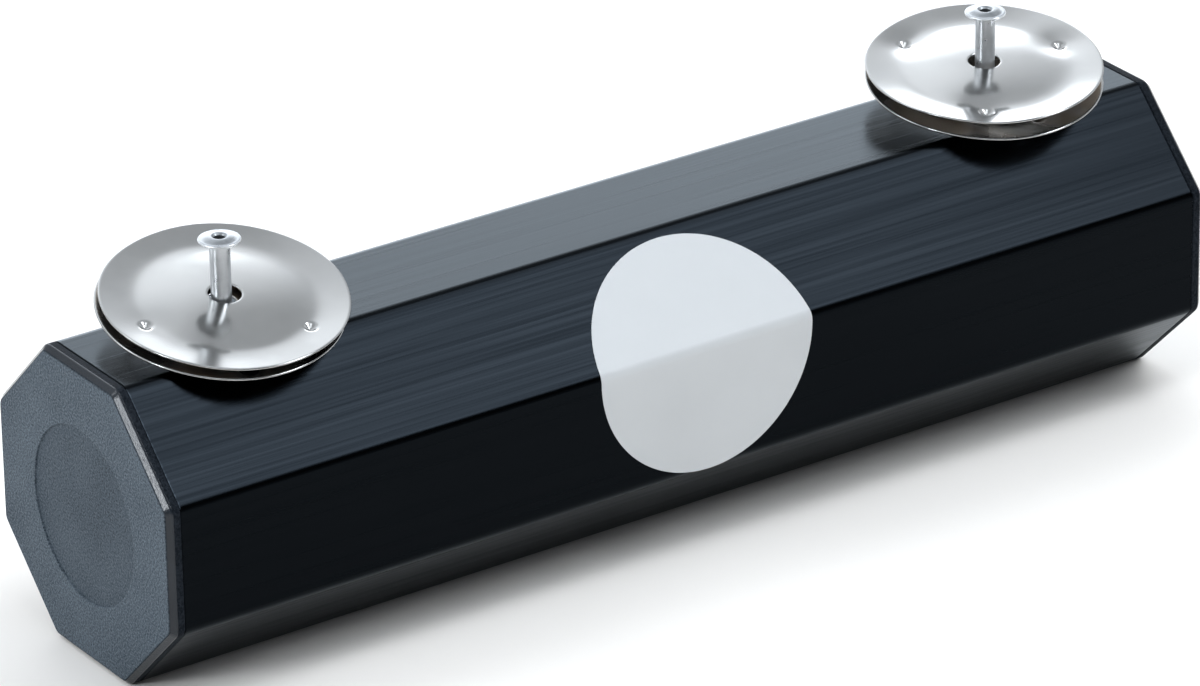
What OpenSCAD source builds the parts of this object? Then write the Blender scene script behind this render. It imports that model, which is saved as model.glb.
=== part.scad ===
/* [Tube] */
// Width of the octagonal tube across two opposite flats
across_flats = 62; // [50:0.5:80]
// Length of the tube without its end caps
tube_length = 239; // [180:1:320]
// Wall of the tube
tube_wall = 1.8; // [1.2:0.1:3]
// Radius of the tube's eight long edges
edge_radius = 3; // [2:0.25:5]
// Bevel that takes the burr off the outer edges of the tube's ends
end_bevel = 0.2; // [0.1:0.05:0.4]

/* [End caps] */
// Thickness of the flange that closes the tube's end
flange_thickness = 3; // [2.2:0.1:5]
// Bevel around the outer face of the flange
flange_bevel = 1.1; // [0.4:0.05:1.2]
// Fine bevel that makes the seam between flange and tube
seam_bevel = 0.25; // [0.1:0.05:0.5]
// Depth of the skirt inside the tube
skirt_depth = 14; // [8:0.5:18]
// Wall of the skirt
skirt_wall = 2.2; // [1.4:0.1:3]
// Clearance between the skirt and the inside of the tube
skirt_clearance = 0.1; // [0.05:0.05:0.3]
// Diameter of the round recess in the cap's face
recess_diameter = 36; // [24:0.5:40]
// Depth of the round recess
recess_depth = 0.4; // [0.2:0.1:1]

/* [Rivets] */
// Distance of each rivet from its end of the tube
rivet_inset = 29.2; // [27:0.1:45]
// Diameter of the rivet sleeve
rivet_diameter = 4; // [3.2:0.1:4.8]
// Clearance between the sleeve and its hole in the tube
rivet_clearance = 0.05; // [0.02:0.01:0.1]
// Diameter of the rivet head
head_diameter = 8.3; // [7.4:0.1:10]
// Thickness of the rivet head at its middle
head_thickness = 1; // [0.8:0.1:2]
// Thickness of the rivet head at its rim
head_rim = 0.5; // [0.4:0.05:0.75]
// Diameter of the hole through the sleeve
sleeve_bore = 2.2; // [1.6:0.1:2.4]
// Width of the funnel at the mouth of that hole
mouth_diameter = 3; // [2.6:0.1:4]
// Depth of the funnel
mouth_depth = 0.4; // [0.2:0.1:0.7]
// Diameter of the swelling on the blind side
bulb_diameter = 6.4; // [5.6:0.1:8]
// Length of the swelling
bulb_length = 5; // [3:0.5:8]
// Length of the straight tail under the swelling
tail_length = 2.5; // [1:0.5:4]
// Diameter of the mandrel stem left in the sleeve
stem_diameter = 2.1; // [1.4:0.1:2.1]
// Length of the mandrel stem left in the sleeve
stem_length = 6; // [3:0.5:7]
// Diameter of the mandrel head
mandrel_diameter = 3.6; // [3:0.1:4.4]
// Height of the mandrel head
mandrel_height = 2.4; // [1.5:0.1:4]

/* [Jingles] */
// Diameter of each jingle
jingle_diameter = 48; // [42:0.5:52]
// Thickness of the jingle's sheet metal
jingle_sheet = 0.5; // [0.3:0.05:0.8]
// Hole in the middle of each jingle
jingle_hole = 6.4; // [5.9:0.1:7.2]
// Radius of curvature of the domed middle
dome_radius = 100; // [60:1:150]
// Width of the upturned brim
brim_width = 7; // [5:0.5:9]
// Height of the rim above the valley where dome and brim meet
brim_rise = 0.95; // [0.4:0.05:1.6]
// Diameter of the circle on which the dimples lie
dimple_circle = 36; // [30:0.5:40]
// Width of each dimple
dimple_width = 3.4; // [2:0.1:4]
// Depth of each dimple
dimple_depth = 0.8; // [0.4:0.05:1]
// Free lift of the left pair of jingles under the rivet head
left_free_lift = 10.1; // [4:0.1:12]
// Free lift of the right pair of jingles under the rivet head
right_free_lift = 9.4; // [4:0.1:12]

/* [How the jingles lie] */
// Forward tilt of the left lower jingle in degrees
left_lower_tilt = 11.8; // [0:0.1:12]
// Forward tilt of the left upper jingle in degrees
left_upper_tilt = 11.5; // [0:0.1:12]
// Forward tilt of the right lower jingle in degrees
right_lower_tilt = 8.1; // [0:0.1:12]
// Forward tilt of the right upper jingle in degrees
right_upper_tilt = 6; // [0:0.1:12]
// Lean of the left pair towards the left end in degrees
left_lean = 0.5; // [0:0.1:3]
// Lean of the right pair towards the left end in degrees
right_lean = 2.5; // [0:0.1:3]
// Sideways slack taken up by the left lower jingle
left_lower_slack = -0.3; // [-0.7:0.1:0.7]
// Sideways slack taken up by the left upper jingle
left_upper_slack = 0.7; // [-0.7:0.1:0.7]
// Sideways slack taken up by the right pair
right_slack = -0.2; // [-0.7:0.1:0.7]
// Gap between the left lower jingle and the tube
left_seat_gap = 0.3; // [0.3:0.1:2]
// Gap between the right lower jingle and the tube
right_seat_gap = 1.2; // [0.3:0.1:2]
// Gap left between the dimples and the jingle below in the left pair
left_stack_gap = 0.3; // [0.3:0.05:2]
// Gap left between the dimples and the jingle below in the right pair
right_stack_gap = 0.75; // [0.3:0.05:2]
// Turn of the lower jingles' dimples about the rivet in degrees
lower_dimple_turn = -90; // [-100:1:-80]
// Turn of the left upper jingle's dimples in degrees
left_dimple_turn = -57; // [-180:1:180]
// Turn of the right upper jingle's dimples in degrees
right_dimple_turn = -5; // [-180:1:180]

/* [Label] */
// Diameter of the round label before it is folded over the edge
label_diameter = 49.8; // [30:0.2:52]
// Thickness of the label
label_thickness = 0.1; // [0.05:0.01:0.2]

/* [Shot] */
// Diameter of each ball of shot
shot_diameter = 4.5; // [3:0.1:5]
// Gap around each ball
shot_gap = 0.4; // [0.3:0.05:1]
// Balls across the bed of shot
shot_rows = 5; // [3:1:5]
// Rows along the bed of shot
shot_columns = 18; // [8:1:22]

/* [Hidden] */
$fn = 96;
sides = 8;
side_angle = 360 / sides;
half_angle = side_angle / 2;
bevel_angle = 45;
stagger_angle = 30;
dimples = 3;
dome_steps = 10;
over = 1;
tube_axis_z = across_flats / 2;
inner_flats = across_flats - 2 * tube_wall;
least_radius = 0.3;
inner_radius = max(edge_radius - tube_wall, least_radius + skirt_clearance);
skirt_flats = inner_flats - 2 * skirt_clearance;
skirt_radius = inner_radius - skirt_clearance;
flat_half = (across_flats / 2 - edge_radius) * tan(half_angle);
rivet_x = tube_length / 2 - rivet_inset;
rivet_hole = rivet_diameter + 2 * rivet_clearance;
jingle_radius = jingle_diameter / 2;
hole_radius = jingle_hole / 2;
valley_radius = jingle_radius - brim_width;
crown = sagitta(hole_radius) - brim_rise;
dimple_sphere = (pow(dimple_width / 2, 2) + pow(dimple_depth, 2)) / (2 * dimple_depth);
seat_x = sqrt(max(pow(valley_radius, 2) - pow(flat_half, 2), 0));
left_lower_z = seat_height(left_lower_tilt, left_lean, left_seat_gap);
right_lower_z = seat_height(right_lower_tilt, right_lean, right_seat_gap);
left_upper_z = left_lower_z + stack_height(left_lower_tilt, left_upper_tilt, left_stack_gap);
right_upper_z = right_lower_z + stack_height(right_lower_tilt, right_upper_tilt, right_stack_gap);
left_head_z = head_need(left_upper_z, left_upper_tilt, left_lean) + left_free_lift;
right_head_z = head_need(right_upper_z, right_upper_tilt, right_lean) + right_free_lift;
blind_z = -tube_wall - bulb_length - tail_length;
label_radius = label_diameter / 2;
fold_centre = corner_point(across_flats, edge_radius, 180 - half_angle);
fold_arc = edge_radius * side_angle * PI / 180;
shot_pitch = shot_diameter + shot_gap;
shot_step = shot_pitch * cos(stagger_angle);

// Height of the dome's middle surface above the valley at a distance from the axis
function sagitta(r) = sqrt(pow(dome_radius, 2) - pow(r, 2)) - sqrt(pow(dome_radius, 2) - pow(valley_radius, 2));

// Height of a lower jingle's rim plane above the top facet, clear of the facet's front edge
function seat_height(tilt, lean, gap) =
    flat_half * tan(tilt) + seat_x * tan(lean) + brim_rise + jingle_sheet / 2 + gap;

// Distance between the rim planes of two stacked jingles
function stack_height(lower_tilt, upper_tilt, gap) =
    jingle_sheet + dimple_depth + jingle_radius * tan(abs(lower_tilt - upper_tilt)) + gap;

// Lowest place for the underside of the rivet head above an upper jingle
function head_need(rim_z, tilt, lean) =
    rim_z + crown + jingle_sheet / 2 + head_diameter / 2 * (tan(tilt) + tan(lean));

// Centre of the rounded corner of an octagon in the direction of an angle
function corner_point(flats, radius, angle) =
    (flats / 2 - radius) / cos(half_angle) * [cos(angle), sin(angle)];

// Middle surface of a jingle: a dome out to the valley, then a brim that rises to the rim
function jingle_points() = concat(
    [for (i = [0 : dome_steps])
        let (r = hole_radius + (valley_radius - hole_radius) * i / dome_steps)
        [r, sagitta(r) - brim_rise]],
    [[jingle_radius, 0]]);

function reversed(list) = [for (i = [len(list) - 1 : -1 : 0]) list[i]];

// Flat octagon with rounded corners
module octagon(flats, radius) {
    corners = [for (i = [0 : sides - 1]) corner_point(flats, radius, half_angle + side_angle * i)];
    polygon([for (i = [0 : sides - 1], j = [0, 1])
        corners[i] + radius * [cos(side_angle * (i + j)), sin(side_angle * (i + j))]]);
    for (corner = corners) translate(corner) circle(radius);
}

// Octagonal bar along X that starts at a given place
module octagon_bar(start, length, flats, radius)
    translate([start, 0, tube_axis_z])
        rotate([90, 0, 90])
            linear_extrude(length) octagon(flats, radius);

// Eight wedges that bevel the edges of an octagonal face towards +X
module edge_bevels(face_x, bevel, flats)
    for (i = [0 : sides - 1])
        translate([face_x, 0, tube_axis_z])
            rotate([side_angle * i, 0, 0])
                translate([-bevel, 0, flats / 2])
                    rotate([0, bevel_angle, 0])
                        translate([-flats / 2, -flats / 2, 0])
                            cube(flats);

module tube()
    color("#26282c")
        difference() {
            octagon_bar(-tube_length / 2, tube_length, across_flats, edge_radius);
            octagon_bar(-tube_length / 2 - over, tube_length + 2 * over, inner_flats, inner_radius);
            edge_bevels(tube_length / 2, end_bevel, across_flats);
            mirror([1, 0, 0])
                edge_bevels(tube_length / 2, end_bevel, across_flats);
            for (side = [-1, 1])
                translate([side * rivet_x, 0, across_flats - tube_wall - over])
                    cylinder(h = tube_wall + 2 * over, d = rivet_hole);
        }

// Cap for the end of the tube that faces +X
module end_cap()
    color("#33363b") {
        difference() {
            octagon_bar(tube_length / 2, flange_thickness, across_flats, edge_radius);
            edge_bevels(tube_length / 2 + flange_thickness, flange_bevel, across_flats);
            translate([tube_length, 0, 0])
                mirror([1, 0, 0])
                    edge_bevels(tube_length / 2, seam_bevel, across_flats);
            translate([tube_length / 2 + flange_thickness - recess_depth, 0, tube_axis_z])
                rotate([0, 90, 0])
                    cylinder(h = recess_depth + over, d = recess_diameter);
        }
        difference() {
            octagon_bar(tube_length / 2 - skirt_depth, skirt_depth, skirt_flats, skirt_radius);
            octagon_bar(tube_length / 2 - skirt_depth - over, skirt_depth + over,
                        skirt_flats - 2 * skirt_wall, least_radius);
        }
    }

module left_end_cap() mirror([1, 0, 0]) end_cap();

module right_end_cap() end_cap();

// Thin round sheet on the front facet, over the rounded edge and on the facet above it
module label()
    color("#dfe2e6")
        translate([0, 0, tube_axis_z]) {
            intersection() {
                translate([0, -across_flats / 2, fold_centre[1]])
                    rotate([90, 0, 0])
                        cylinder(h = label_thickness, r = label_radius);
                translate([-label_diameter, -across_flats, fold_centre[1] - label_diameter])
                    cube([2 * label_diameter, across_flats, label_diameter]);
            }
            translate([0, fold_centre[0], fold_centre[1]])
                rotate([90, 0, 90])
                    label_fold();
            translate([0, fold_centre[0], fold_centre[1]])
                rotate([-side_angle, 0, 0])
                    intersection() {
                        translate([0, -edge_radius, -fold_arc])
                            rotate([90, 0, 0])
                                cylinder(h = label_thickness, r = label_radius);
                        translate([-label_diameter, -across_flats, 0])
                            cube([2 * label_diameter, across_flats, label_diameter]);
                    }
        }

// The strip of the label that bends round the tube's edge, just inside the round outline
module label_fold() {
    strip = 2 * (sqrt(pow(label_radius, 2) - pow(fold_arc, 2)) - label_thickness);
    reach = 2 * edge_radius;
    translate([0, 0, -strip / 2])
        linear_extrude(strip)
            intersection() {
                difference() {
                    circle(edge_radius + label_thickness);
                    circle(edge_radius);
                }
                polygon([[0, 0], [-reach, 0], [-reach, reach * tan(half_angle)],
                         reach * [cos(180 - side_angle), sin(180 - side_angle)]]);
            }
}

// Hollow blind rivet that stands on the top facet, with the underside of its head at a given height
module rivet_sleeve(head_z)
    color("#b9bdc2")
        translate([0, 0, across_flats])
            rotate_extrude()
                polygon([
                    [sleeve_bore / 2, blind_z],
                    [rivet_diameter / 2, blind_z],
                    [rivet_diameter / 2, blind_z + tail_length],
                    [bulb_diameter / 2, -tube_wall - bulb_length / 2],
                    [bulb_diameter / 2, -tube_wall],
                    [rivet_diameter / 2, -tube_wall],
                    [rivet_diameter / 2, head_z],
                    [head_diameter / 2, head_z],
                    [head_diameter / 2, head_z + head_rim],
                    [mouth_diameter / 2, head_z + head_thickness],
                    [sleeve_bore / 2, head_z + head_thickness - mouth_depth]
                ]);

// End of the pulled mandrel that stays in the blind end of the sleeve
module rivet_mandrel()
    color("#8f949a")
        translate([0, 0, across_flats + blind_z]) {
            cylinder(h = stem_length, d = stem_diameter);
            translate([0, 0, -mandrel_height])
                cylinder(h = mandrel_height, d1 = mandrel_diameter / 2, d2 = mandrel_diameter);
        }

module left_rivet_sleeve() translate([-rivet_x, 0, 0]) rivet_sleeve(left_head_z);

module right_rivet_sleeve() translate([rivet_x, 0, 0]) rivet_sleeve(right_head_z);

module left_rivet_mandrel() translate([-rivet_x, 0, 0]) rivet_mandrel();

module right_rivet_mandrel() translate([rivet_x, 0, 0]) rivet_mandrel();

// Domed sheet with an upturned brim, a hole in the middle and dimples pressed down near the rim
module jingle_plate() {
    middle = jingle_points();
    half_sheet = jingle_sheet / 2;
    dimple_radius = dimple_circle / 2;
    dimple_top = dimple_radius > valley_radius
        ? brim_rise * (dimple_radius - jingle_radius) / brim_width + half_sheet
        : sagitta(dimple_radius) - brim_rise + half_sheet;
    difference() {
        union() {
            rotate_extrude()
                polygon(concat(
                    [for (p = middle) p + [0, half_sheet]],
                    reversed([for (p = middle) p - [0, half_sheet]])));
            for (i = [0 : dimples - 1])
                rotate([0, 0, 360 / dimples * i])
                    translate([dimple_radius, 0, dimple_top])
                        dimple_bump();
        }
        for (i = [0 : dimples - 1])
            rotate([0, 0, 360 / dimples * i])
                translate([dimple_radius, 0, dimple_top + dimple_sphere - dimple_depth])
                    sphere(dimple_sphere);
    }
}

// The underside of one dimple
module dimple_bump() {
    outer = dimple_sphere + jingle_sheet;
    intersection() {
        translate([0, 0, dimple_sphere - dimple_depth]) sphere(outer);
        translate([0, 0, -outer - jingle_sheet / 2]) cylinder(h = outer, r = outer);
    }
}

// A jingle on its rivet, turned about its own axis, tilted forward and leaned to the left
module jingle(x, z, tilt, lean, turn)
    color("#d5d8da")
        translate([x, 0, across_flats + z])
            rotate([tilt, -lean, 0])
                rotate([0, 0, turn])
                    jingle_plate();

module left_lower_jingle()
    jingle(-rivet_x + left_lower_slack, left_lower_z, left_lower_tilt, left_lean, lower_dimple_turn);

module left_upper_jingle()
    jingle(-rivet_x + left_upper_slack, left_upper_z, left_upper_tilt, left_lean, left_dimple_turn);

module right_lower_jingle()
    jingle(rivet_x + right_slack, right_lower_z, right_lower_tilt, right_lean, lower_dimple_turn);

module right_upper_jingle()
    jingle(rivet_x + right_slack, right_upper_z, right_upper_tilt, right_lean, right_dimple_turn);

// Loose balls in one staggered bed on the tube's floor
module shot()
    color("#7d8288")
        for (column = [0 : shot_columns - 1]) {
            across = shot_rows - column % 2;
            for (row = [0 : across - 1])
                translate([shot_step * (column - (shot_columns - 1) / 2),
                           shot_pitch * (row - (across - 1) / 2),
                           tube_wall + shot_gap + shot_diameter / 2])
                    sphere(d = shot_diameter);
        }

tube();
left_end_cap();
right_end_cap();
label();
left_rivet_sleeve();
right_rivet_sleeve();
left_rivet_mandrel();
right_rivet_mandrel();
left_lower_jingle();
left_upper_jingle();
right_lower_jingle();
right_upper_jingle();
shot();
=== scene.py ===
import math

import bmesh
import bpy
from mathutils import Euler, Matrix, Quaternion, Vector


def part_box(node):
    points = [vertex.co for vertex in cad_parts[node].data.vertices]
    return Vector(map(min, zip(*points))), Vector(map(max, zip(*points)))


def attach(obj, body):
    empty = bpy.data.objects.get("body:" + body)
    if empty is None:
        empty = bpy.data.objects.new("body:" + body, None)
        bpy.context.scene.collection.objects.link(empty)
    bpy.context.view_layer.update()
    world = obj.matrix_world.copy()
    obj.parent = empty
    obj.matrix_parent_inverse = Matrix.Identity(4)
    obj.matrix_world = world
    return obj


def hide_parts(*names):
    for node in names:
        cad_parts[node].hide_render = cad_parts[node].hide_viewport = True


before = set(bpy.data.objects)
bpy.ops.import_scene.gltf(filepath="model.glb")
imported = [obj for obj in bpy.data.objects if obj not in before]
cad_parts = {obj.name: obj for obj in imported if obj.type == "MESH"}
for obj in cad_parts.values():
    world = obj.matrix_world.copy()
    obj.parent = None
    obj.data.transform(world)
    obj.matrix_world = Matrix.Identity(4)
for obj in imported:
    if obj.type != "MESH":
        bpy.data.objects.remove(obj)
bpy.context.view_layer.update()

# Sizes in metres, from the frame where it gives them
MM = 0.001
TUBE_LOW, TUBE_HIGH = (Vector(corner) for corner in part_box("tube"))
CAP_LOW, CAP_HIGH = (Vector(corner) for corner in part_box("right_end_cap"))

# Tube
SIDES = 8
SIDE_ANGLE = math.tau / SIDES
ACROSS_FLATS = TUBE_HIGH.z - TUBE_LOW.z
TUBE_END = TUBE_HIGH.x
TUBE_WALL = 1.8 * MM
AXIS_Z = (TUBE_LOW.z + TUBE_HIGH.z) / 2
EDGE_RADIUS = 3.0 * MM

# End caps, with the angle in degrees
FLANGE = CAP_HIGH.x - TUBE_END
SKIRT_DEPTH = TUBE_END - CAP_LOW.x
SKIRT_CLEARANCE = 0.1 * MM
SKIRT_FLATS = ACROSS_FLATS - 2 * (TUBE_WALL + SKIRT_CLEARANCE)
SKIRT_WALL = 2.2 * MM
SKIRT_RADIUS = 1.1 * MM
SKIRT_INNER_RADIUS = 0.3 * MM
SEAM_BEVEL = 0.25 * MM
FACE_BEVEL = 1.1 * MM
BEVEL_ANGLE = 45
BEVEL_ROUND = 0.5 * MM
RECESS_RADIUS = 18.0 * MM
RECESS_DEPTH = 0.4 * MM
RECESS_LIP = 0.19 * MM
# Share of the face's pale colour, partly painted light, that the recess floor gets, so it is painted a
# little darker than the face
RECESS_PALE_LIT_SHARE = 0.78

# Jingles
JINGLE_RADIUS = 24.0 * MM
JINGLE_SHEET = 0.5 * MM
JINGLE_HOLE = 3.2 * MM
DOME_RADIUS = 100.0 * MM
BRIM_RISE = 0.95 * MM
VALLEY_RADIUS = 17.0 * MM
VALLEY_BLEND = 1.6 * MM
VALLEY_SLOPE = 0.37
VALLEY_SINK = 0.15
DIMPLES = 3
DIMPLE_CIRCLE = 18.0 * MM
DIMPLE_RADIUS = 1.7 * MM
DIMPLE_DEPTH = 0.8 * MM
DISH_RADIUS = 4.5 * MM
WARP = 0.16 * MM

# Waves of the warp: number around the disc, phase, power of the distance from the middle, share
WARP_WAVES = ((2, 0.6, 2, 1.0), (5, 1.9, 3, 0.5))

# Tilt towards the front, lean towards the left end and turn of the dimples, in degrees
JINGLE_LIES = {
    "left_lower_jingle": (11.8, 0.5, -90),
    "left_upper_jingle": (11.5, 0.5, -57),
    "right_lower_jingle": (8.1, 2.5, -90),
    "right_upper_jingle": (6.0, 2.5, -5),
}

# Depth of the broad dents around the dimples
DISH_DEPTHS = {"left_upper_jingle": 0.16 * MM, "right_upper_jingle": 0.55 * MM}

# Rivets, with the angle at which the head's rounded rim ends in degrees
SHANK_RADIUS = 2.0 * MM
BORE_RADIUS = 1.1 * MM
FUNNEL_DEPTH = 0.4 * MM
BULB_RADIUS = 3.2 * MM
BULB_NARROWING = 0.9
BULB_SHOULDER = 2.0 * MM
BULB_TAPER = 3.2 * MM
TAIL = 2.5 * MM
HEAD_RADIUS = 4.15 * MM
HEAD_HEIGHT = 1.0 * MM
HEAD_FILLET = 0.3 * MM
HEAD_RIM = 0.27 * MM
HEAD_RIM_END = 72

# Upper side of the rivet head: share of its radius and depth under its top in millimetres
HEAD_CROWN = ((0.86, 0.50), (0.78, 0.46), (0.66, 0.28), (0.54, 0.10))

# Lip around the funnel: radius and depth under the top, in millimetres
HEAD_LIP = ((1.75, 0.01), (1.6, 0.0), (1.45, 0.05))

# Label
LABEL_RADIUS = 24.9 * MM
LABEL_SHEET = 0.1 * MM
LABEL_FOLD = EDGE_RADIUS * SIDE_ANGLE

# Fineness of the meshes, and how far a support ring is from the rounded edge whose flat side it keeps flat
CORNER_STEPS = 8
FLAT_STEPS = 16
ROUND_STEPS = 6
LIP_STEPS = 4
RIM_STEPS = 8
FOLD_STEPS = 8
JINGLE_SEGMENTS = 288
JINGLE_STEPS = 64
RIVET_SEGMENTS = 72
LABEL_ROWS = 120
LABEL_COLUMNS = 48
SUPPORT = 0.04 * MM
SHARP_ANGLE = math.radians(40)

# The photograph's camera
CAMERA_AZIMUTH = math.radians(-34.18)
CAMERA_ELEVATION = math.radians(25.40)
CAMERA_ROLL = math.radians(-0.90)
CAMERA_DISTANCE = 1.5142
CAMERA_AIM = Vector((-2.41, 2.46, 32.43)) * MM
CAMERA_LENS = 230.8
SENSOR_WIDTH = 36.0

# Studio: each soft area has a direction, an inner and an outer edge in degrees, and a strength
FLOOR_SIZE = 12.0
LIGHT_TINT = (0.945, 1.0, 1.06)
STUDIO_WALLS = 0.40
STUDIO_AREAS = (
    # The walls darken above a bright horizon
    ((0.00, 0.00, 1.00), 69, 84, -0.37),
    # A large area above the back with two smaller ones under it
    ((0.20, 0.55, 0.81), 42, 68, 0.72),
    ((0.35, 0.85, 0.40), 14, 34, 0.85),
    ((0.00, 0.75, 0.66), 20, 33, 0.45),
    # A low light behind, which the top facet mirrors
    ((0.51, 0.82, 0.25), 12, 19, 2.7),
    # The front light, which the upper front facet and its rounded edges mirror
    ((0.47, -0.46, 0.75), 5, 11, 11.0),
    ((0.51, -0.57, 0.64), 3, 8, 9.0),
    ((0.51, -0.23, 0.83), 4, 8, 9.0),
    ((0.51, -0.03, 0.86), 4, 8, 8.0),
    # Fill from both ends
    ((-0.92, 0.28, 0.30), 18, 45, 0.5),
    ((0.97, -0.05, 0.30), 12, 29, 0.6),
    # Small lights above the back left, the middle and the left, for views from the other sides
    ((-0.60, 0.36, 0.72), 5, 12, 6.0),
    ((0.00, -0.26, 0.97), 6, 14, 2.4),
    ((-0.60, -0.23, 0.77), 6, 14, 2.4),
)


# Meshes

def octagon_ring(flats, radius, x):
    """Points of a rounded octagon around the tube's axis, at one place along it."""
    centre_distance = (flats / 2 - radius) / math.cos(SIDE_ANGLE / 2)
    points = []
    for corner in range(SIDES):
        middle = SIDE_ANGLE * (corner + 0.5)
        centre = Vector((x, centre_distance * math.cos(middle), centre_distance * math.sin(middle) + AXIS_Z))
        for step in range(CORNER_STEPS + 1):
            angle = SIDE_ANGLE * (corner + step / CORNER_STEPS)
            points.append(centre + Vector((0, math.cos(angle), math.sin(angle))) * radius)
    ring = []
    for k, p in enumerate(points):
        ring.append(p)
        if k % (CORNER_STEPS + 1) == CORNER_STEPS:
            after = points[(k + 1) % len(points)]
            ring += [p.lerp(after, step / FLAT_STEPS) for step in range(1, FLAT_STEPS)]
    return ring


def circle_ring(like, radius, x):
    """Points of a circle around the tube's axis, in the directions of another ring's points."""
    ring = []
    for p in like:
        out = Vector((0, p.y, p.z - AXIS_Z)).normalized()
        ring.append(out * radius + Vector((x, 0, AXIS_Z)))
    return ring


def arc(centre, radius, start, end, steps):
    """Points of an arc in a profile plane, with angles in degrees."""
    points = []
    for i in range(steps + 1):
        angle = math.radians(start + (end - start) * i / steps)
        points.append((centre[0] + radius * math.cos(angle), centre[1] + radius * math.sin(angle)))
    return points


def loft(rings, closed=False, poles=False):
    """Vertices and faces of a skin through rings of equal length."""
    count = len(rings[0])
    verts = [p for ring in rings for p in ring]
    faces = []
    last = len(rings) if closed else len(rings) - 1
    for i in range(last):
        a, b = i * count, ((i + 1) % len(rings)) * count
        for k in range(count):
            n = (k + 1) % count
            faces.append((a + k, a + n, b + n, b + k))
    if poles:
        for ring, start, turn in ((rings[0], 0, -1), (rings[-1], len(verts) - count, 1)):
            pole = len(verts)
            verts.append(sum(ring, Vector()) / count)
            for k in range(count):
                edge = (start + k, start + (k + 1) % count)
                faces.append((*edge[::turn], pole))
    return verts, faces


def piece(name, verts, faces, material, body, stands_for):
    """A closed smooth mesh that rides on a body and stands for a CAD node, its faces turned outwards."""
    mesh = bpy.data.meshes.new(name)
    mesh.from_pydata([tuple(v) for v in verts], [], faces)
    mesh.polygons.foreach_set("use_smooth", [True] * len(mesh.polygons))
    mesh.validate()
    mesh.set_sharp_from_angle(angle=SHARP_ANGLE)
    mesh.materials.append(material)
    obj = bpy.data.objects.new(name, mesh)
    bpy.context.collection.objects.link(obj)
    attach(obj, body)
    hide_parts(stands_for)
    work = bmesh.new()
    work.from_mesh(mesh)
    bmesh.ops.recalc_face_normals(work, faces=work.faces)
    work.to_mesh(mesh)
    work.free()
    return obj


def mark(obj, name, values):
    """Writes a number at each vertex of a piece, which its material reads by name."""
    obj.data.attributes.new(name, "FLOAT", "POINT").data.foreach_set("value", values)


# Materials

class Nodes:
    """A new node material and short ways to add and join its nodes."""

    def __init__(self, name):
        self.material = bpy.data.materials.new(name)
        self.material.use_nodes = True
        self.tree = self.material.node_tree
        self.shader = self.tree.nodes["Principled BSDF"]

    def add(self, kind, values=None, **settings):
        """A node with its settings, and values for its sockets."""
        node = self.tree.nodes.new(kind)
        for key, value in settings.items():
            setattr(node, key, value)
        for key, value in (values or {}).items():
            node.inputs[key].default_value = value
        return node

    def join(self, source, target):
        self.tree.links.new(source, target)

    def coordinates(self, scale=(1, 1, 1)):
        """Object coordinates stretched by a scale along each axis."""
        place = self.add("ShaderNodeTexCoord")
        mapping = self.add("ShaderNodeMapping", {"Scale": scale})
        self.join(place.outputs["Object"], mapping.inputs["Vector"])
        return mapping.outputs["Vector"]

    def attribute(self, name):
        """The number that mark() wrote at each vertex."""
        return self.add("ShaderNodeAttribute", attribute_name=name).outputs["Fac"]

    def noise(self, scale, vector, detail=3.0, roughness=0.5):
        node = self.add("ShaderNodeTexNoise", {"Scale": scale, "Detail": detail, "Roughness": roughness})
        self.join(vector, node.inputs["Vector"])
        return node.outputs["Fac"]

    def ramp(self, factor, low, high, start=0.3, end=0.7):
        """A value or colour that runs from low to high as the factor runs from start to end."""
        node = self.add("ShaderNodeValToRGB")
        first, second = node.color_ramp.elements
        first.position, second.position = start, end
        first.color, second.color = colour(low), colour(high)
        self.join(factor, node.inputs["Fac"])
        return node.outputs["Color"]

    def blend(self, share, first, second):
        """Two values mixed with a fixed share of the second one."""
        node = self.add("ShaderNodeMix", {"Factor": share}, data_type="FLOAT")
        self.join(first, node.inputs["A"])
        self.join(second, node.inputs["B"])
        return node.outputs["Result"]

    def mix(self, factor, low, high):
        """Two colours mixed by a factor, through the colour sockets of the mix node."""
        node = self.add("ShaderNodeMix", data_type="RGBA")
        self.join(factor, node.inputs["Factor"])
        self.join(low, node.inputs[6])
        self.join(high, node.inputs[7])
        return node.outputs[2]

    def product(self, first, second):
        node = self.add("ShaderNodeMath", operation="MULTIPLY")
        self.join(first, node.inputs[0])
        self.join(second, node.inputs[1])
        return node.outputs["Value"]

    def bump(self, height, distance, strength):
        node = self.add("ShaderNodeBump", {"Distance": distance, "Strength": strength})
        self.join(height, node.inputs["Height"])
        return node.outputs["Normal"]

    def set(self, **values):
        """Sets sockets of the shader: a number or colour is written there, an output is joined to it."""
        for key, value in values.items():
            socket = self.shader.inputs[key.replace("_", " ").title().replace("Ior", "IOR")]
            if isinstance(value, bpy.types.NodeSocket):
                self.join(value, socket)
            else:
                socket.default_value = value


def colour(value):
    """A colour with its alpha, from three numbers or from one for a grey."""
    if isinstance(value, (int, float)):
        value = (value, value, value)
    return (*value, 1.0)


def tube_material():
    """Black anodised aluminium with fine drawing lines along the tube."""
    m = Nodes("tube_anodised")
    lines = m.noise(1.0, m.coordinates((11, 1500, 1500)), roughness=0.6)
    bands = m.noise(1.0, m.coordinates((4, 420, 420)), roughness=0.6)
    streak = m.blend(0.3, lines, bands)
    m.set(
        base_color=m.ramp(streak, (0.0046, 0.0057, 0.0070), (0.0036, 0.0046, 0.0058), 0.36, 0.66),
        metallic=1.0,
        roughness=m.ramp(streak, 0.17, 0.28, 0.38, 0.62),
        normal=m.bump(streak, 0.00003, 0.7),
        specular_tint=colour((0.80, 0.83, 0.852)),
    )
    return m.material


def plastic_noise(m):
    """The fine moulded grain and the broad clouds of the caps' plastic."""
    place = m.coordinates()
    return m.noise(2400, place, detail=2, roughness=0.6), m.noise(60, place, detail=5)


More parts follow.
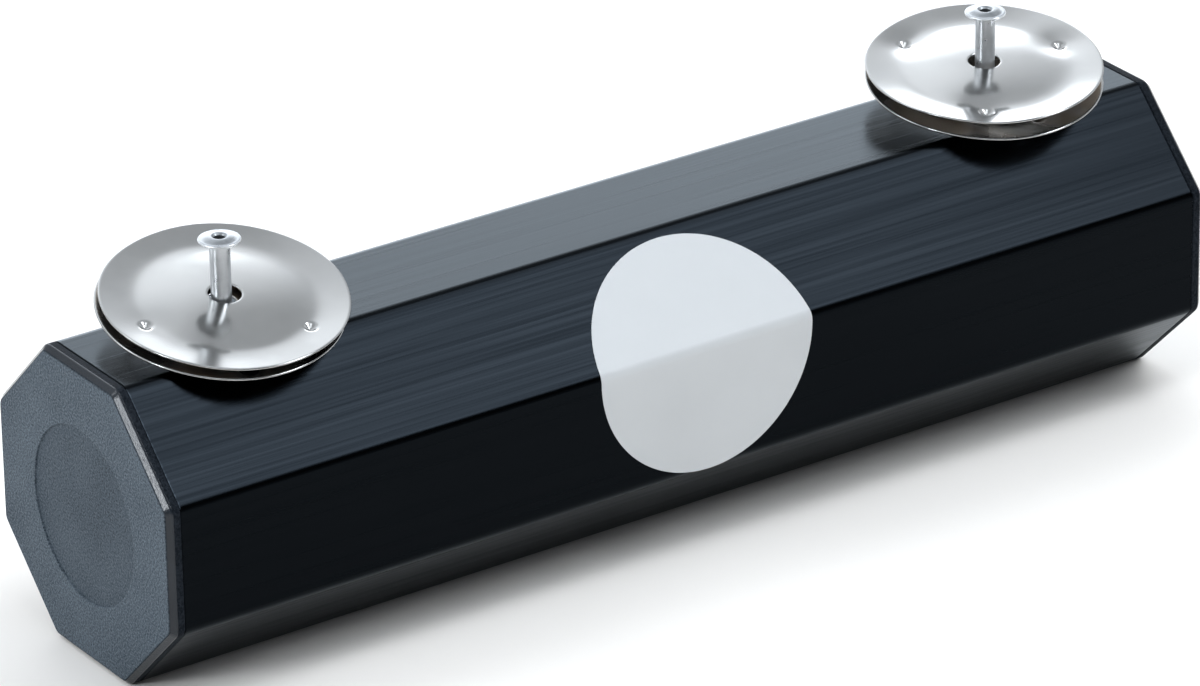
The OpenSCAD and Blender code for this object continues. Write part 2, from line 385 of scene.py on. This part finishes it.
def cap_material():
    """Moulded black plastic with a fine grain: dark sides, and a paler matt face whose pale colour is partly
    painted light.
    """
    m = Nodes("cap_moulded")
    grain, cloud = plastic_noise(m)
    pale_lit_share = m.attribute("pale_lit_share")
    mottle = m.blend(0.8, cloud, grain)
    dark = m.ramp(mottle, (0.003, 0.005, 0.008), (0.015, 0.019, 0.025), 0.40, 0.60)
    # The pale colour is partly the matt face and partly painted light from the left lamp
    pale = m.ramp(mottle, (0.021, 0.032, 0.044), (0.120, 0.147, 0.174), 0.36, 0.64)
    m.set(
        base_color=m.mix(pale_lit_share, dark, pale),
        roughness=m.mix(pale_lit_share, m.ramp(mottle, 0.54, 0.66), m.ramp(mottle, 0.36, 0.48)),
        normal=m.bump(grain, 0.0002, 1.0),
        ior=1.12,
    )
    return m.material


def rubbed_material():
    """The same plastic where handling has rubbed the bevel smooth."""
    m = Nodes("cap_rubbed")
    grain, cloud = plastic_noise(m)
    m.set(
        base_color=m.ramp(cloud, (0.006, 0.009, 0.013), (0.014, 0.018, 0.024)),
        roughness=m.ramp(cloud, 0.14, 0.20),
        normal=m.bump(grain, 0.0002, 0.2),
        ior=1.38,
    )
    return m.material


def jingle_material(name, brown_glint):
    """Bright nickel plate with faint haze and fine polishing lines, and patches of painted brown reflection
    on its upper face.
    """
    m = Nodes(name)
    place = m.coordinates()
    haze = m.noise(45, place, detail=5, roughness=0.6)
    patch = m.noise(75, place, detail=2)
    lines = m.noise(1.0, m.coordinates((260, 3200, 3200)), detail=2)
    plate = m.ramp(haze, (0.365, 0.365, 0.36), (0.405, 0.405, 0.40))
    # Painted brown reflection in patches on the upper face, standing for warm surroundings mirrored in the
    # gap between the discs
    glint_brown = m.ramp(haze, (0.15, 0.11, 0.07), (0.28, 0.21, 0.14))
    glint_spread = m.product(m.ramp(patch, 0.0, brown_glint, 0.30, 0.60), m.attribute("upper_face"))
    m.set(
        base_color=m.mix(glint_spread, plate, glint_brown),
        metallic=1.0,
        roughness=m.mix(glint_spread, m.ramp(haze, 0.13, 0.20, 0.35, 0.75), m.ramp(haze, 0.34, 0.5)),
        normal=m.bump(lines, 0.00001, 0.25),
    )
    return m.material


def rivet_material():
    """Satin aluminium with fine lines along the sleeve, and a head painted darker grey as painted shade."""
    m = Nodes("rivet_aluminium")
    cloud = m.noise(420, m.coordinates(), detail=4, roughness=0.6)
    lines = m.noise(1.0, m.coordinates((4200, 4200, 300)), detail=2)
    bright = m.ramp(cloud, (0.66, 0.68, 0.70), (0.76, 0.78, 0.80))
    # The head's darker grey is painted shade
    grey = m.ramp(cloud, (0.21, 0.222, 0.234), (0.29, 0.303, 0.315), 0.35, 0.65)
    m.set(
        base_color=m.mix(m.attribute("dark_painted_head"), bright, grey),
        metallic=0.85,
        roughness=m.ramp(cloud, 0.26, 0.36),
        normal=m.bump(lines, 0.00001, 0.25),
    )
    return m.material


def steel_material(name, low, high):
    """Plain drawn or rolled steel."""
    m = Nodes(name)
    cloud = m.noise(700, m.coordinates(), detail=4, roughness=0.6)
    m.set(
        base_color=m.ramp(cloud, low, high),
        metallic=1.0,
        roughness=m.ramp(cloud, 0.3, 0.5),
        normal=m.bump(cloud, 0.00002, 0.4),
    )
    return m.material


def label_material():
    """Silver white film with a soft sheen and a faint orange peel."""
    m = Nodes("label_film")
    place = m.coordinates()
    cloud = m.noise(35, place, detail=4)
    peel = m.noise(700, place, detail=2)
    m.set(
        base_color=m.ramp(cloud, (0.545, 0.560, 0.570), (0.585, 0.600, 0.610)),
        roughness=m.ramp(cloud, 0.30, 0.40),
        normal=m.bump(peel, 0.00002, 0.3),
        ior=1.3,
    )
    return m.material


# Pieces

def end_cap(side, material, rubbed):
    """Cap at one end: skirt, flange with a rounded rim, and a round recess in its face."""
    node = "right_end_cap" if side > 0 else "left_end_cap"

    def octagon(flats, radius, depth):
        return octagon_ring(flats, radius, side * (TUBE_END + depth))

    # Skirt, seam and the flange's sides
    inner_flats = SKIRT_FLATS - 2 * SKIRT_WALL
    rings = [
        octagon(inner_flats, SKIRT_INNER_RADIUS, 0),
        octagon(inner_flats, SKIRT_INNER_RADIUS, -SKIRT_DEPTH),
        octagon(SKIRT_FLATS, SKIRT_RADIUS, -SKIRT_DEPTH),
        octagon(SKIRT_FLATS, SKIRT_RADIUS, 0),
        octagon(ACROSS_FLATS - 2 * SEAM_BEVEL, EDGE_RADIUS - SEAM_BEVEL, 0),
        octagon(ACROSS_FLATS, EDGE_RADIUS, SEAM_BEVEL),
        octagon(ACROSS_FLATS, EDGE_RADIUS, SEAM_BEVEL + SUPPORT),
    ]
    first_rubbed = len(rings)

    # Bevel between two rounded edges
    cut = BEVEL_ROUND * math.tan(math.radians(BEVEL_ANGLE / 2))
    slant = 180 - BEVEL_ANGLE
    low_round = arc((BEVEL_ROUND, FLANGE - FACE_BEVEL - cut), BEVEL_ROUND, 180, slant, ROUND_STEPS)
    high_round = arc((FACE_BEVEL + cut, FLANGE - BEVEL_ROUND), BEVEL_ROUND, slant, 90, ROUND_STEPS)
    (low_in, low_up), (high_in, high_up) = low_round[-1], high_round[0]
    bevel = low_round + [
        (low_in + SUPPORT, low_up + SUPPORT),
        (high_in - SUPPORT, high_up - SUPPORT),
    ] + high_round
    for inset, depth in bevel:
        rings.append(octagon(ACROSS_FLATS - 2 * inset, EDGE_RADIUS - inset, depth))
    first_face = len(rings) - len(high_round)

    # Face and recess
    face_inset = FACE_BEVEL + cut + SUPPORT
    face_edge = octagon(ACROSS_FLATS - 2 * face_inset, EDGE_RADIUS - face_inset, FLANGE)

    def circle(radius, depth):
        return circle_ring(face_edge, radius, side * (TUBE_END + depth))

    lip, bottom = RECESS_LIP, FLANGE - RECESS_DEPTH
    rings.append(face_edge)
    rings.append(circle(RECESS_RADIUS + lip + SUPPORT, FLANGE))
    rings += [circle(*p) for p in arc((RECESS_RADIUS + lip, FLANGE - lip), lip, 90, 180, LIP_STEPS)]
    first_floor = len(rings)
    rings += [circle(*p) for p in arc((RECESS_RADIUS - lip, bottom + lip), lip, 0, -90, LIP_STEPS)]
    rings.append(circle(RECESS_RADIUS - lip - SUPPORT, bottom))
    rings.append(circle(RECESS_RADIUS / 2, bottom))

    verts, faces = loft(rings, poles=True)
    cap = piece(f"{node}_moulding", verts, faces, material, "root", node)
    count = len(face_edge)
    cap.data.materials.append(rubbed)
    for face in cap.data.polygons[first_rubbed * count:first_face * count]:
        face.material_index = 1
    # The face gets the pale colour, which is partly painted light; the sides keep the dark plastic, and the
    # recess floor is painted a little darker than the face
    pale_lit_shares = [min(max((i - first_face) / ROUND_STEPS, 0.0), 1.0) for i in range(first_floor)]
    pale_lit_shares += [RECESS_PALE_LIT_SHARE] * (len(rings) - first_floor)
    mark(cap, "pale_lit_share", [pale_lit_share for pale_lit_share in pale_lit_shares for _ in range(count)] + [pale_lit_shares[0], pale_lit_shares[-1]])


def jingle_height(r):
    """Height of a jingle's middle surface over its rim plane, with the valley rounded."""
    valley = math.sqrt(DOME_RADIUS ** 2 - VALLEY_RADIUS ** 2)
    dome = math.sqrt(DOME_RADIUS ** 2 - r ** 2) - valley - BRIM_RISE
    brim = BRIM_RISE * (r - JINGLE_RADIUS) / (JINGLE_RADIUS - VALLEY_RADIUS)
    blend = VALLEY_SLOPE * VALLEY_BLEND
    return (dome + brim + math.hypot(dome - brim, blend)) / 2 - VALLEY_SINK * blend


def dimple_drop(x, y, turn, dish):
    """How far the sheet is pressed down at a point, by the dimples near the rim and their dents."""
    drop = 0.0
    for k in range(DIMPLES):
        angle = turn + math.tau * k / DIMPLES
        away = math.hypot(x - DIMPLE_CIRCLE * math.cos(angle), y - DIMPLE_CIRCLE * math.sin(angle))
        if away < DIMPLE_RADIUS:
            drop += DIMPLE_DEPTH * (math.cos(math.pi * away / DIMPLE_RADIUS) + 1) / 2
        drop += dish * math.exp(-(away / DISH_RADIUS) ** 2)
    return drop


def warp(angle, r):
    """Slight unevenness of a stamped disc, the same for both discs of a pair."""
    reach = r / JINGLE_RADIUS
    bend = 0.0
    for around, phase, power, share in WARP_WAVES:
        bend += share * math.sin(around * angle + phase) * reach ** power
    return WARP * bend


def jingle(node, material):
    """A stamped disc: both faces of the sheet, with rounded edges at the rim and the hole."""
    tilt, lean, turn = (math.radians(a) for a in JINGLE_LIES[node])
    dish = DISH_DEPTHS.get(node, 0.0)
    half = JINGLE_SHEET / 2
    spin = Euler((tilt, -lean, 0)).to_matrix()
    level = spin.col[2].z
    low, high = (Vector(corner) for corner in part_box(node))
    centre = (low + high) / 2
    centre.z = high.z - JINGLE_RADIUS * math.sqrt(1 - level ** 2) - half * level

    inner, outer = JINGLE_HOLE + half, JINGLE_RADIUS - half
    radii = [inner + (outer - inner) * i / JINGLE_STEPS for i in range(JINGLE_STEPS + 1)]
    profile = [(r, half) for r in radii]
    profile += arc((outer, 0), half, 90, -90, ROUND_STEPS)[1:-1]
    profile += [(r, -half) for r in reversed(radii)]
    profile += arc((inner, 0), half, 270, 90, ROUND_STEPS)[1:-1]
    rings = []
    for r, offset in profile:
        ring = []
        for k in range(JINGLE_SEGMENTS):
            angle = math.tau * k / JINGLE_SEGMENTS
            x, y = r * math.cos(angle), r * math.sin(angle)
            z = jingle_height(r) + warp(angle, r) - dimple_drop(x, y, turn, dish) + offset
            ring.append(spin @ Vector((x, y, z)) + centre)
        rings.append(ring)
    verts, faces = loft(rings, closed=True)
    disc = piece(f"{node}_disc", verts, faces, material, node, node)
    upper = JINGLE_STEPS * JINGLE_SEGMENTS
    mark(disc, "upper_face", [1.0 if i < upper else 0.0 for i in range(len(verts))])


def rivet(side, material):
    """A blind rivet turned from its profile: head with a funnel, sleeve, swelling and bore."""
    node = "right_rivet_sleeve" if side > 0 else "left_rivet_sleeve"
    low, high = (Vector(corner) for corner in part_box(node))
    x = (low.x + high.x) / 2
    top = high.z
    under = top - HEAD_HEIGHT
    facet = TUBE_HIGH.z
    inside = facet - TUBE_WALL
    profile = [
        (BORE_RADIUS, low.z),
        (SHANK_RADIUS, low.z),
        (SHANK_RADIUS, low.z + TAIL),
        (BULB_RADIUS * BULB_NARROWING, inside - BULB_TAPER),
        (BULB_RADIUS, inside - BULB_SHOULDER),
        (BULB_RADIUS, inside),
        (SHANK_RADIUS, inside),
        (SHANK_RADIUS, facet),
    ]
    fillet_centre = (SHANK_RADIUS + HEAD_FILLET, under - HEAD_FILLET)
    profile += arc(fillet_centre, HEAD_FILLET, 180, 90, LIP_STEPS)
    profile += arc((HEAD_RADIUS - HEAD_RIM, under + HEAD_RIM), HEAD_RIM, -90, HEAD_RIM_END, RIM_STEPS)
    first_dark_painted = len(profile) - 1
    profile += [(HEAD_RADIUS * share, top - depth * MM) for share, depth in HEAD_CROWN]
    profile += [(radius * MM, top - depth * MM) for radius, depth in HEAD_LIP]
    profile.append((BORE_RADIUS, top - FUNNEL_DEPTH))

    turns = [math.tau * k / RIVET_SEGMENTS for k in range(RIVET_SEGMENTS)]
    rings = [[Vector((x + r * math.cos(t), r * math.sin(t), z)) for t in turns] for r, z in profile]
    verts, faces = loft(rings, closed=True)
    turned = piece(f"{node}_turned", verts, faces, material, "root", node)
    # The head from its rim upwards is painted darker grey as painted shade
    mark(turned, "dark_painted_head", [0.0 if i < first_dark_painted * RIVET_SEGMENTS else 1.0 for i in range(len(verts))])


def label_point(x, along, lift):
    """A point of the flat label at a height along it, folded over the tube's front edge."""
    middle = math.pi - SIDE_ANGLE / 2
    out = (ACROSS_FLATS / 2 - EDGE_RADIUS) / math.cos(SIDE_ANGLE / 2)
    centre = Vector((0, out * math.cos(middle), out * math.sin(middle) + AXIS_Z))
    turn = min(max(along, 0), LABEL_FOLD) / EDGE_RADIUS
    normal = Vector((0, -math.cos(turn), math.sin(turn)))
    up = Vector((0, math.sin(turn), math.cos(turn)))
    beyond = along if along < 0 else max(along - LABEL_FOLD, 0)
    return centre + normal * (EDGE_RADIUS + lift) + up * beyond + Vector((x, 0, 0))


def label(material):
    """The round label as a thin closed sheet, bent over the edge without stretching."""
    heights = [-LABEL_RADIUS * math.cos(math.pi * (i + 0.5) / LABEL_ROWS) for i in range(LABEL_ROWS)]
    heights = sorted(heights + [LABEL_FOLD * i / FOLD_STEPS for i in range(FOLD_STEPS + 1)])
    across = LABEL_COLUMNS + 1
    layer = len(heights) * across
    verts, faces = [], []
    for lift in (LABEL_SHEET, 0.0):
        for h in heights:
            half = math.sqrt(LABEL_RADIUS ** 2 - h ** 2)
            for c in range(across):
                verts.append(label_point(half * (2 * c / LABEL_COLUMNS - 1), h, lift))
    for i in range(len(heights) - 1):
        for c in range(LABEL_COLUMNS):
            a = i * across + c
            quad = (a, a + 1, a + across + 1, a + across)
            faces.append(quad)
            faces.append(tuple(v + layer for v in reversed(quad)))
    edge = list(range(across))
    edge += [i * across + LABEL_COLUMNS for i in range(1, len(heights))]
    edge += [(len(heights) - 1) * across + c for c in reversed(range(LABEL_COLUMNS))]
    edge += [i * across for i in reversed(range(1, len(heights) - 1))]
    for a, b in zip(edge, edge[1:] + edge[:1]):
        faces.append((b, a, a + layer, b + layer))
    piece("label_sheet", verts, faces, material, "root", "label")


def dress_nodes():
    """Materials for the CAD nodes that show as they are."""
    mandrel = steel_material("mandrel_steel", (0.30, 0.31, 0.33), (0.45, 0.46, 0.48))
    materials = {
        "tube": tube_material(),
        "left_rivet_mandrel": mandrel,
        "right_rivet_mandrel": mandrel,
        "shot": steel_material("shot_steel", (0.22, 0.23, 0.25), (0.38, 0.39, 0.41)),
    }
    for node, material in materials.items():
        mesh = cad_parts[node].data
        mesh.materials.clear()
        mesh.materials.append(material)


# Stage, light and camera

def floor():
    """A plain pale floor."""
    mesh = bpy.data.meshes.new("floor")
    corners = [(x * FLOOR_SIZE, y * FLOOR_SIZE, 0) for x, y in ((-1, -1), (1, -1), (1, 1), (-1, 1))]
    mesh.from_pydata(corners, [], [(0, 1, 2, 3)])
    obj = bpy.data.objects.new("floor", mesh)
    bpy.context.collection.objects.link(obj)
    m = Nodes("floor_paper")
    m.set(base_color=colour((0.97, 0.93, 0.885)), roughness=0.9, specular_ior_level=0.0)
    mesh.materials.append(m.material)


def softbox(name, direction, distance, size, radiance):
    """A square area light that faces the object from a direction."""
    light = bpy.data.lights.new(name, "AREA")
    light.shape = "SQUARE"
    light.size = size
    light.energy = math.pi * size ** 2 * radiance
    light.color = LIGHT_TINT
    obj = bpy.data.objects.new(name, light)
    out = Vector(direction).normalized()
    obj.location = out * distance + Vector((0, 0, AXIS_Z))
    obj.rotation_mode = "QUATERNION"
    obj.rotation_quaternion = out.to_track_quat("Z", "Y")
    obj.visible_camera = False
    bpy.context.collection.objects.link(obj)


def studio():
    """A world of even walls with the soft areas added to them."""
    world = bpy.data.worlds.new("studio")
    bpy.context.scene.world = world
    world.use_nodes = True
    tree = world.node_tree
    shader = tree.nodes["Background"]
    shader.inputs["Color"].default_value = colour(LIGHT_TINT)
    looking = tree.nodes.new("ShaderNodeTexCoord").outputs["Generated"]
    total = None
    for direction, inner, outer, strength in STUDIO_AREAS:
        near = tree.nodes.new("ShaderNodeVectorMath")
        near.operation = "DOT_PRODUCT"
        near.inputs[1].default_value = Vector(direction).normalized()
        tree.links.new(looking, near.inputs[0])
        soft = tree.nodes.new("ShaderNodeMapRange")
        soft.interpolation_type = "SMOOTHERSTEP"
        soft.inputs["From Min"].default_value = math.cos(math.radians(outer))
        soft.inputs["From Max"].default_value = math.cos(math.radians(inner))
        soft.inputs["To Max"].default_value = strength
        tree.links.new(near.outputs["Value"], soft.inputs["Value"])
        add = tree.nodes.new("ShaderNodeMath")
        add.inputs[0].default_value = STUDIO_WALLS
        if total:
            tree.links.new(total, add.inputs[0])
        tree.links.new(soft.outputs["Result"], add.inputs[1])
        total = add.outputs["Value"]
    tree.links.new(total, shader.inputs["Strength"])


def camera():
    """The camera that the photograph was fitted to."""
    data = bpy.data.cameras.new("photo_camera")
    data.lens, data.sensor_width = CAMERA_LENS, SENSOR_WIDTH
    data.sensor_fit = "HORIZONTAL"
    obj = bpy.data.objects.new("photo_camera", data)
    flat = math.cos(CAMERA_ELEVATION)
    back = Vector((
        math.sin(CAMERA_AZIMUTH) * flat,
        -math.cos(CAMERA_AZIMUTH) * flat,
        math.sin(CAMERA_ELEVATION),
    ))
    obj.location = CAMERA_AIM + back * CAMERA_DISTANCE
    obj.rotation_mode = "QUATERNION"
    obj.rotation_quaternion = Quaternion(back, CAMERA_ROLL) @ back.to_track_quat("Z", "Y")
    bpy.context.collection.objects.link(obj)
    bpy.context.scene.camera = obj


# The part and its stage

cap_plastic = cap_material()
cap_rubbed = rubbed_material()
aluminium = rivet_material()
# The lower discs carry painted brown reflections on their upper face; the upper ones barely any
nickel = jingle_material("jingle_nickel", 0.03)
nickel_brown_glints = jingle_material("jingle_nickel_brown_glints", 0.9)
for side in (-1, 1):
    end_cap(side, cap_plastic, cap_rubbed)
    rivet(side, aluminium)
for node in JINGLE_LIES:
    jingle(node, nickel_brown_glints if "lower" in node else nickel)
label(label_material())
dress_nodes()

floor()
softbox("left_box", direction=(-0.877, -0.153, 0.457), distance=1.5, size=0.22, radiance=32.0)
studio()
camera()
bpy.context.scene.view_settings.view_transform = "Standard"
